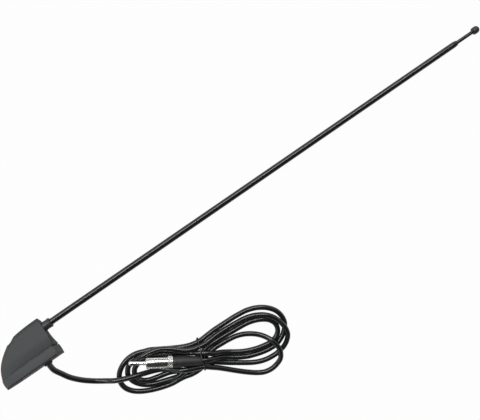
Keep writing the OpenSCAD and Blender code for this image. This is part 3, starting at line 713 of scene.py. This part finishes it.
def tie_path():
    """One turn round the hank with a little slant, from the corner that has the knot."""
    n = len(tie_loop)
    start = max(range(n), key=lambda k: tie_loop[k][0] * KNOT_CORNER[0] + tie_loop[k][1] * KNOT_CORNER[1])
    path = []
    for k in range(n + 1):
        across, height = tie_loop[(start + k) % n]
        slant = SLANT * math.cos(2 * math.pi * k / n) + WAVE * math.sin(6 * math.pi * k / n)
        path.append(tie_point(across, height, slant + OFFSET * (k / n - 0.5)))
    return path


band = tie_path()
knot_at = band[0]
knot_dir = (tie_across * KNOT_WAY[1] + Vector((0, 0, KNOT_WAY[2])) + tie_along * KNOT_WAY[0]).normalized()
twist_side = knot_dir.cross(tie_along).normalized()
twist_over = knot_dir.cross(twist_side)


def tie_end(turned_by, length):
    """One of the two ends, wound round the other as it runs out from the knot."""
    points = []
    for k in range(TWIST_STEPS + 1):
        t = k / TWIST_STEPS
        turn = turned_by + TWIST * t
        points.append(knot_at + knot_dir * (length * t * MM)
                      + (twist_side * math.cos(turn) + twist_over * math.sin(turn)) * TWIST_R * MM)
    return points


tie = swept("hank_tie", tie_end(0, END_LENGTHS[0])[::-1] + band[1:-1] + tie_end(math.pi, END_LENGTHS[1]),
            TIE_WIRE * MM, tie_plastic, TIE_SIDES)
print("tie:", len(tie.data.polygons), "faces")

# %% [markdown]
# ## The housing's cover
# The cover is one moulding: a flared skirt that sweeps up into a narrow upright fin, with a rounded
# front, a short ramp and a nearly level back. Its cross-section follows one rule along its whole
# length, so it is lofted from rings of the same section at many stations, closed at the rear by rows of
# faces that can follow the sloping corner. The fin's top is a crest between a round and a chamfer. The
# lower edge rises towards the rear, which opens the seam there. A bevel then gives the moulding's small
# edge radius, and a bore lets the mast through.

# %% Cover's rules
TAPER_LEN, PLAN_POWER, FLARE_POWER, FRONT_S, FRONT_PULL = 26.0, 2.3, 1.8, 0.8, 16.6
REAR_CUT, REAR_CUT_H = 1.0, 4.6
SEAM_GAP, SEAM_FADE, CREST_POWER = 0.42, (8.0, 26.0), 1.7
FRONT_STEPS, RAMP_STEPS, BACK_STEPS = 36, 16, 12
FLARE_ROWS, WALL_ROWS, CREST_ROWS, CREST_DEGREES = 18, 3, 16, 6
SHARE_MOST, SKIRT_LEAST, SKIRT_NOSE, EDGE_SHARE, BACK_POWER = 0.85, 0.2, 0.4, 0.8, 2.5


def plan_half(s, half):
    """Half of the foot's width at a distance from its nose."""
    return half * max(0.0, 1 - max(0.0, 1 - s / TAPER_LEN) ** PLAN_POWER) ** (1 / PLAN_POWER)


def back_height(s):
    """The fin's height behind its front: up a smooth ramp, then along the falling back."""
    rise = min(1.0, max(0.0, (s - FRONT_LEN) / (RAMP_END - FRONT_LEN)))
    top = BASE_H - BACK_FALL * ((BASE_LEN - s) / (BASE_LEN - RAMP_END)) ** BACK_POWER
    return FRONT_H + (top - FRONT_H) * rise * rise * (3 - 2 * rise)


def silhouette():
    """The fin's upper outline from nose to rear: (s, height)."""
    line = []
    for i in range(1, FRONT_STEPS + 1):
        t = i / FRONT_STEPS
        line.append((FRONT_S + (FRONT_LEN - FRONT_S) * t * t,
                     SEAM_H * (1 - t) ** 2 + 2 * FRONT_PULL * t * (1 - t) + FRONT_H * t * t))
    for start, end, steps in ((FRONT_LEN, RAMP_END, RAMP_STEPS), (RAMP_END, BASE_LEN, BACK_STEPS)):
        for i in range(1, steps + 1):
            s = start + (end - start) * i / steps
            line.append((s, back_height(s)))
    return line


def cover_section(s, top, steep):
    """Right half of the section, from the skirt's edge to the fin's top: (z, height)."""
    edge = SEAM_H + SEAM_GAP * min(1.0, max(0.0, (s - SEAM_FADE[0]) / (SEAM_FADE[1] - SEAM_FADE[0])))
    skirt = max(SKIRT_LEAST, plan_half(s - FRONT_S * SKIRT_NOSE, BASE_HALF - SEAM_STEP * 2))
    fin = min(FIN_HALF, SHARE_MOST * skirt)
    height = top - SEAM_H
    round_h = min(EDGE_R * steep, SHARE_MOST * height)
    flare = min(FLARE_H - SEAM_H, height - round_h)
    half = [(fin + (skirt - fin) * (1 - i / FLARE_ROWS) ** FLARE_POWER, SEAM_H + flare * i / FLARE_ROWS)
            for i in range(FLARE_ROWS + 1)]
    half[0] = (half[0][0], min(edge, SEAM_H + EDGE_SHARE * flare / FLARE_ROWS))
    level = SEAM_H + height - round_h
    half += [(fin, SEAM_H + flare + (level - SEAM_H - flare) * i / WALL_ROWS) for i in range(1, WALL_ROWS)]
    for i in range(CREST_ROWS):
        turn = math.radians(CREST_DEGREES * i)
        half.append((fin * math.cos(turn) ** CREST_POWER, level + round_h * math.sin(turn) ** CREST_POWER))
    return half


def rear_slope(s, y):
    """The upper rear corner leans forward, most at its top."""
    over = max(0.0, y - (BASE_H - REAR_CUT_H)) / REAR_CUT_H
    return min(s, BASE_LEN - REAR_CUT * over)


print("the fin's outline has", len(silhouette()), "stations")


# %% Cover
def make_cover():
    """The lofted moulding, closed at both ends and underneath."""
    line = silhouette()
    points, faces = [], []
    for i, (s, top) in enumerate(line):
        a, b = line[max(0, i - 1)], line[min(len(line) - 1, i + 1)]
        steep = math.hypot(1, (b[1] - a[1]) / (b[0] - a[0]))
        half = cover_section(s, top, steep)
        for side in (1, -1):
            for z, y in half:
                points.append(laid(rear_slope(s, y), y, side * z))
    n = len(half)
    ring = 2 * n
    for i in range(len(line) - 1):
        for side in (0, 1):
            for k in range(n - 1):
                a, b = i * ring + side * n + k, i * ring + side * n + k + 1
                faces.append((a, b, b + ring, a + ring))
        for k in (0, n - 1):
            a, b = i * ring + k, i * ring + n + k
            faces.append((a, b, b + ring, a + ring))
    for end in (0, (len(line) - 1) * ring):
        for k in range(n - 1):
            faces.append((end + k, end + k + 1, end + n + k + 1, end + n + k))
    return face_outwards(add_mesh("housing_cover", points, faces))


def on_mast(start):
    """Puts a turned piece on the mast's axis, from that distance behind the nose."""
    return lambda along, across, over: laid(start + along, MAST_H + across, over)


MAST_BORE, BORE_FROM, COVER_EDGE = 2.84, 21.5, 0.35
bore_len = BASE_LEN + 1 - BORE_FROM
bore = turned("mast bore", [(0, 0), (0, MAST_BORE), (bore_len, MAST_BORE), (bore_len, 0)],
              on_mast(BORE_FROM), sides=48)
cover = cut_out(soften(make_cover(), COVER_EDGE, 3, 50), [bore])
wear(housing_plastic, keep_edges(cover, 60))
print("cover:", len(cover.data.polygons), "faces")

# %% [markdown]
# ## Foot and gasket
# The foot is the band under the parting line, a quarter of a millimetre wider than the cover. Its top is
# rounded, and a narrower tongue on it reaches up behind the cover's edge. So a groove is left between the
# two, which is the line seen in the picture, and it closes towards the nose. Foot and gasket are lofted
# through outlines of the same plan. Their screw holes and the lead's hole are cut with Booleans.


# %% Lofts of the foot's plan
PLAN_STEPS, NOSE_CROWDING = 40, 1.7


def plan_outline(inset, nose, rear):
    """The foot's plan, that much inside its widest line, as (s, z) all the way round."""
    side = []
    for i in range(1, PLAN_STEPS + 1):
        s = (rear - nose) * (i / PLAN_STEPS) ** NOSE_CROWDING
        side.append((nose + s, plan_half(s, BASE_HALF - inset)))
    return [(nose, 0.0)] + [(s, -z) for s, z in side] + side[::-1]


def plan_loft(name, levels):
    """A closed solid; each level is (inset, nose, how far the rear is moved in, height)."""
    points, faces = [], []
    for inset, nose, rear_in, y in levels:
        outline = plan_outline(inset, nose, BASE_LEN - rear_in)
        points += [laid(s, y, z) for s, z in outline]
    n = len(outline)
    for i in range(len(levels) - 1):
        for k in range(n):
            a, b = i * n + k, i * n + (k + 1) % n
            faces.append((a, b, b + n, a + n))
    for first in (0, (len(levels) - 1) * n):
        faces.append((first, first + 1, first + n - 1))
        faces += [(first + k, first + k + 1, first + n - k - 1, first + n - k) for k in range(1, n // 2)]
    return face_outwards(add_mesh(name, points, faces))


def standing_at(s):
    """Puts a turned piece upright in the housing, at that distance behind the nose."""
    return lambda along, across, over: laid(s + across, along, over)


def drill(piece, holes, depth):
    """Cuts upright round holes up from the mounting face; each hole is (s, radius)."""
    return cut_out(piece, [turned("drill", [(-1, 0), (-1, radius), (depth, radius), (depth, 0)],
                                  standing_at(s), sides=48) for s, radius in holes])


print("the plan has", len(plan_outline(0, 0, BASE_LEN)), "points")

# %% Foot and gasket
SCREWS_AT, SCREW_R, LEAD_R, FOOT_DEPTH = (9.6, 23.0), 2.1, 3.14, 6.0
GASKET_SCREW_R, GASKET_LEAD_R, GASKET_DEPTH = 2.3, 3.2, 3.0
foot = plan_loft("housing_foot", [
    (0.35, 0.4, 0.3, GASKET_T), (0.12, 0.1, 0.12, GASKET_T + 0.35), (0.03, -0.05, 0.05, GASKET_T + 0.9),
    (0, -0.25, 0, GASKET_T + 2.8), (SEAM_STEP * 0.6, -0.05, 0.05, SEAM_H - 1.2),
    (SEAM_STEP, 0.1, 0.1, SEAM_H - 0.55), (SEAM_STEP * 1.5, 0.25, 0.22, SEAM_H - 0.25),
    (SEAM_STEP * 2.6, 0.55, 0.5, SEAM_H - 0.05), (SEAM_STEP * 4.6, 1.0, 1.0, SEAM_H - 0.02),
    (SEAM_STEP * 4.6, 1.0, 1.0, SEAM_H + 0.5)])
drill(foot, [(s, SCREW_R) for s in SCREWS_AT] + [(OUTLET_S, LEAD_R)], FOOT_DEPTH)
wear(foot_plastic, keep_edges(foot, 50))
gasket = plan_loft("foot_gasket", [
    (0.16, 0.26, 0.26, 0.0), (0.08, 0.18, 0.18, 0.12), (0.08, 0.18, 0.18, GASKET_T)])
drill(gasket, [(s, GASKET_SCREW_R) for s in SCREWS_AT] + [(OUTLET_S, GASKET_LEAD_R)], GASKET_DEPTH)
wear(gasket_rubber, keep_edges(gasket, 50))
print("foot:", len(foot.data.polygons), "faces, gasket:", len(gasket.data.polygons), "faces")

# %% [markdown]
# ## Grommet, collar and mast
# Everything here is round, so all of it comes from the lathe helper. The grommet's axis is upright in
# the housing, and the rest lies on the mast's axis. The two tubes are hollow, and their mouths are
# rolled in over a few millimetres, which guides the next section. The top section is a plain rod.

# %% Grommet and collar
GROMMET_BORE, COLLAR_BORE = 2.04, 2.39
grommet = turned("lead_grommet", [
    (-GROMMET_OUT, GROMMET_BORE), (-GROMMET_OUT, 2.5), (-GROMMET_OUT + 0.15, 2.8),
    (-GROMMET_OUT + 0.5, 3.0), (-0.6, 3.08), (-0.2, 3.1), (3.4, 3.1), (3.4, 4.0), (4.4, 4.0),
    (4.4, GROMMET_BORE)], standing_at(OUTLET_S), sides=56, hollow=True)
wear(gasket_rubber, keep_edges(grommet, 45))
collar = turned("mast_base_collar", [
    (-1.5, COLLAR_BORE), (-1.5, 2.8), (0, 2.8), (0, 3.3), (0.12, 3.45), (0.5, 3.5), (2.2, 3.36),
    (3.6, 3.36), (4.4, 3.48), (5.2, 3.55), (5.6, 3.42), (5.8, 3.1), (5.8, 2.6),
    (5.5, COLLAR_BORE)], on_mast(BASE_LEN), sides=56, hollow=True)
wear(black_plastic, keep_edges(collar, 45))
print("grommet:", len(grommet.data.polygons), "faces, collar:", len(collar.data.polygons), "faces")

# %% The mast's sections and button
TUBE_LEN, MIDDLE_LEN, ROD_LEN, ROD_R, BUTTON_LEN = 389.0, 362.0, 372.0, 1.4, 5.5
TUBE_START = BASE_LEN - 20.0
MIDDLE_START, ROD_START = TUBE_START + 27.0, TUBE_START + 32.9


def tube_outline(length, radius, bore, mouth):
    """A tube's wall, with its far mouth rolled in to a smaller bore."""
    return [(0, bore), (0, radius), (length - 3.2, radius), (length - 2.4, radius - 0.03),
            (length - 1.5, radius - 0.12), (length - 0.8, radius - 0.28),
            (length - 0.3, radius - 0.46 * (radius - mouth) - 0.1),
            (length, mouth + 0.28 * (radius - mouth)), (length, mouth), (length - 1.8, mouth),
            (length - 2.2, bore)]


outer = turned("mast_outer_section", tube_outline(TUBE_LEN, 2.35, 2.05, 1.91), on_mast(TUBE_START),
               hollow=True)
middle = turned("mast_middle_section", tube_outline(MIDDLE_LEN, 1.85, 1.6, 1.46), on_mast(MIDDLE_START),
                hollow=True)
rod = turned("mast_top_rod", [(0, 0), (0, ROD_R), (ROD_LEN, ROD_R), (ROD_LEN, 0)], on_mast(ROD_START),
             sides=48)
for piece in (outer, middle, rod):
    wear(mast_black, keep_edges(piece, 45))
button = turned("mast_tip_button", [
    (0, 0), (0, 1.9), (0.1, 2.3), (0.4, 2.65), (0.9, 2.78), (1.6, 2.8), (3.0, 2.8), (3.6, 2.74),
    (4.2, 2.55), (4.7, 2.22), (5.1, 1.75), (5.35, 1.2), (5.47, 0.6), (BUTTON_LEN, 0)],
    on_mast(ROD_START + ROD_LEN), sides=48)
wear(black_plastic, keep_edges(button, 60))
print("mast's tip at", round(laid(ROD_START + ROD_LEN + BUTTON_LEN, MAST_H, 0).x, 4), "m")

# %% [markdown]
# ## The pieces inside
# The CAD model also has the pieces that nobody sees until the object is taken apart: the brass socket,
# its clamping screw, the earth plate, the lead's end and the tubes' guides. Their shapes are right, so
# they keep them and only get a finish.

# %% Finishes of the CAD nodes that stay
KEPT = {"earth_plate": steel, "coax_inside": jacket, "coax_core": insulator, "core_lead": copper,
        "mast_socket": brass, "clamp_screw": steel, "tube_plug": brass, "middle_guide": brass,
        "rod_guide": brass}
for name, finish in KEPT.items():
    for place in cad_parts[name].material_slots:
        place.material = finish
print("finished CAD nodes:", ", ".join(KEPT))

# %% [markdown]
# ## Which piece stands for which CAD node
# The frame has to know what each piece replaces and which body carries it. The middle section and the
# rod slide, so their pieces ride on those bodies. The lead rides on the housing's body and stands for both
# CAD nodes of the lead and its hank.

# %% Riding and replacing
STANDS_FOR = [
    (cover, "cover", "housing", "housing_plastic"), (foot, "foot", "housing", "housing_plastic"),
    (gasket, "gasket", "housing", "gasket_rubber"), (grommet, "cable_grommet", "housing", "gasket_rubber"),
    (collar, "mast_collar", "housing", "black_plastic"), (outer, "outer_tube", "housing", "black_steel"),
    (middle, "middle_tube", "middle_section", "black_steel"),
    (rod, "inner_rod", "rod_section", "black_steel"),
    (button, "tip_button", "rod_section", "black_plastic"), (pin, "plug_pin", "housing", "nickel"),
    (core, "plug_insulator", "housing", "insulator"), (shell, "plug_shell", "housing", "nickel"),
    (ring, "plug_ring", "housing", "nickel"), (boot, "plug_boot", "housing", "cable_jacket"),
    (tie, "cable_tie", "housing", "tie_wire")]
for piece, node, body, slot in STANDS_FOR:
    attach(piece, body)
    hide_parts(node)
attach(lead, "housing")
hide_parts("coax_lead", "coax_hank")
print("pieces that stand for CAD nodes:", len(STANDS_FOR) + 1)

# %% [markdown]
# ## Table, background and light
# The object lies on a plain white sheet, with nothing but white round it. The camera, mirrors and glass
# see sheet and air as white, through Light Path, and every other ray meets dim grey paper and dim air. So
# the white doesn't flood the black object. In mirrors, the air overhead on the near side is dark, which
# gives bright metal its dark half. A long strip on the far side is seen only in reflections and draws the
# streak along each round piece. A softbox overhead lights the matt plastic, and no mirror shows it.


# %% Table
WHITE_SHARE, PAPER_GREY, SHEET_HALF, SHEET_BELOW = 0.98, 0.25, 4.0, 0.00002


def seen_or_mirrored(tree):
    """1 for a ray from the camera, or from a mirror or glass, and 0 for one that lights something."""
    ray = add_node(tree, "ShaderNodeLightPath")
    camera_or_gloss = add_node(tree, "ShaderNodeMath", operation="MAXIMUM")
    or_glass = add_node(tree, "ShaderNodeMath", operation="MAXIMUM")
    wire(tree, (ray, "Is Camera Ray", camera_or_gloss, 0), (ray, "Is Glossy Ray", camera_or_gloss, 1),
         (camera_or_gloss, 0, or_glass, 0), (ray, "Is Transmission Ray", or_glass, 1))
    return or_glass


def sheet_material():
    """Paper that looks white and lights the object only as grey paper does."""
    material = bpy.data.materials.new("white sheet")
    material.use_nodes = True
    tree = material.node_tree
    tree.nodes.clear()
    out = add_node(tree, "ShaderNodeOutputMaterial")
    paper = add_node(tree, "ShaderNodeBsdfDiffuse", {"Color": (PAPER_GREY, PAPER_GREY, PAPER_GREY, 1)})
    glow = add_node(tree, "ShaderNodeEmission")
    share = add_node(tree, "ShaderNodeMath", {1: WHITE_SHARE}, operation="MULTIPLY")
    mix = add_node(tree, "ShaderNodeMixShader")
    wire(tree, (seen_or_mirrored(tree), 0, share, 0), (share, 0, mix, 0), (paper, 0, mix, 1),
         (glow, 0, mix, 2), (mix, 0, out, "Surface"))
    return material


corners = [(x * SHEET_HALF, y * SHEET_HALF, TABLE_Z * MM - SHEET_BELOW)
           for x, y in ((-1, -1), (1, -1), (1, 1), (-1, 1))]
table = add_mesh("table_sheet", corners, [(0, 1, 2, 3)])
wear(sheet_material(), table)
print("table at", round(TABLE_Z * MM, 5), "m")

# %% World
AIR_GREY = 0.12
DARK_WAY = (0, -0.55, 0.83)
DARK_FADE = {"From Min": 0.2, "From Max": 0.8, "To Min": 1.0, "To Max": 0.04}
world = bpy.data.worlds.new("studio")
bpy.context.scene.world = world
world.use_nodes = True
air = world.node_tree
air.nodes.clear()
air_out = add_node(air, "ShaderNodeOutputWorld")
soft_air = add_node(air, "ShaderNodeBackground", {"Color": (AIR_GREY, AIR_GREY, AIR_GREY, 1)})
white_air = add_node(air, "ShaderNodeBackground", {"Color": (1, 1, 1, 1)})
way = add_node(air, "ShaderNodeTexCoord")
facing = add_node(air, "ShaderNodeVectorMath", {1: DARK_WAY}, operation="DOT_PRODUCT")
fade = add_node(air, "ShaderNodeMapRange", DARK_FADE)
ray = add_node(air, "ShaderNodeLightPath")
brighter = add_node(air, "ShaderNodeMath", operation="MAXIMUM")
air_mix = add_node(air, "ShaderNodeMixShader")
wire(air, (way, "Generated", facing, 0), (facing, "Value", fade, "Value"), (fade, 0, brighter, 0),
     (ray, "Is Camera Ray", brighter, 1), (brighter, 0, white_air, "Strength"),
     (seen_or_mirrored(air), 0, air_mix, 0), (soft_air, 0, air_mix, 1), (white_air, 0, air_mix, 2),
     (air_mix, 0, air_out, "Surface"))
print("world:", world.name, "with", len(air.nodes), "nodes")


# %% Lamps
def soft_lamp(name, place, towards, width, height, power):
    """A rectangular lamp that points at a spot; metres and watts."""
    data = bpy.data.lights.new(name, "AREA")
    data.shape = "RECTANGLE"
    data.size, data.size_y, data.energy = width, height, power
    lamp = bpy.data.objects.new(name, data)
    bpy.context.scene.collection.objects.link(lamp)
    lamp.location = place
    lamp.rotation_euler = (Vector(towards) - Vector(place)).to_track_quat("-Z", "Y").to_euler()
    return lamp


STRIP = {"place": (0.2, 0.66, 1.0), "towards": (0.18, 0, 0), "width": 1.8, "height": 0.2, "power": 15}
SOFTBOX = {"place": (-0.16, 0.22, 1.3), "towards": (0, 0, 0), "width": 0.4, "height": 0.5, "power": 17}
soft_lamp("far strip", **STRIP).visible_diffuse = False
soft_lamp("overhead softbox", **SOFTBOX).visible_glossy = False
bpy.context.scene.view_settings.view_transform = "Standard"
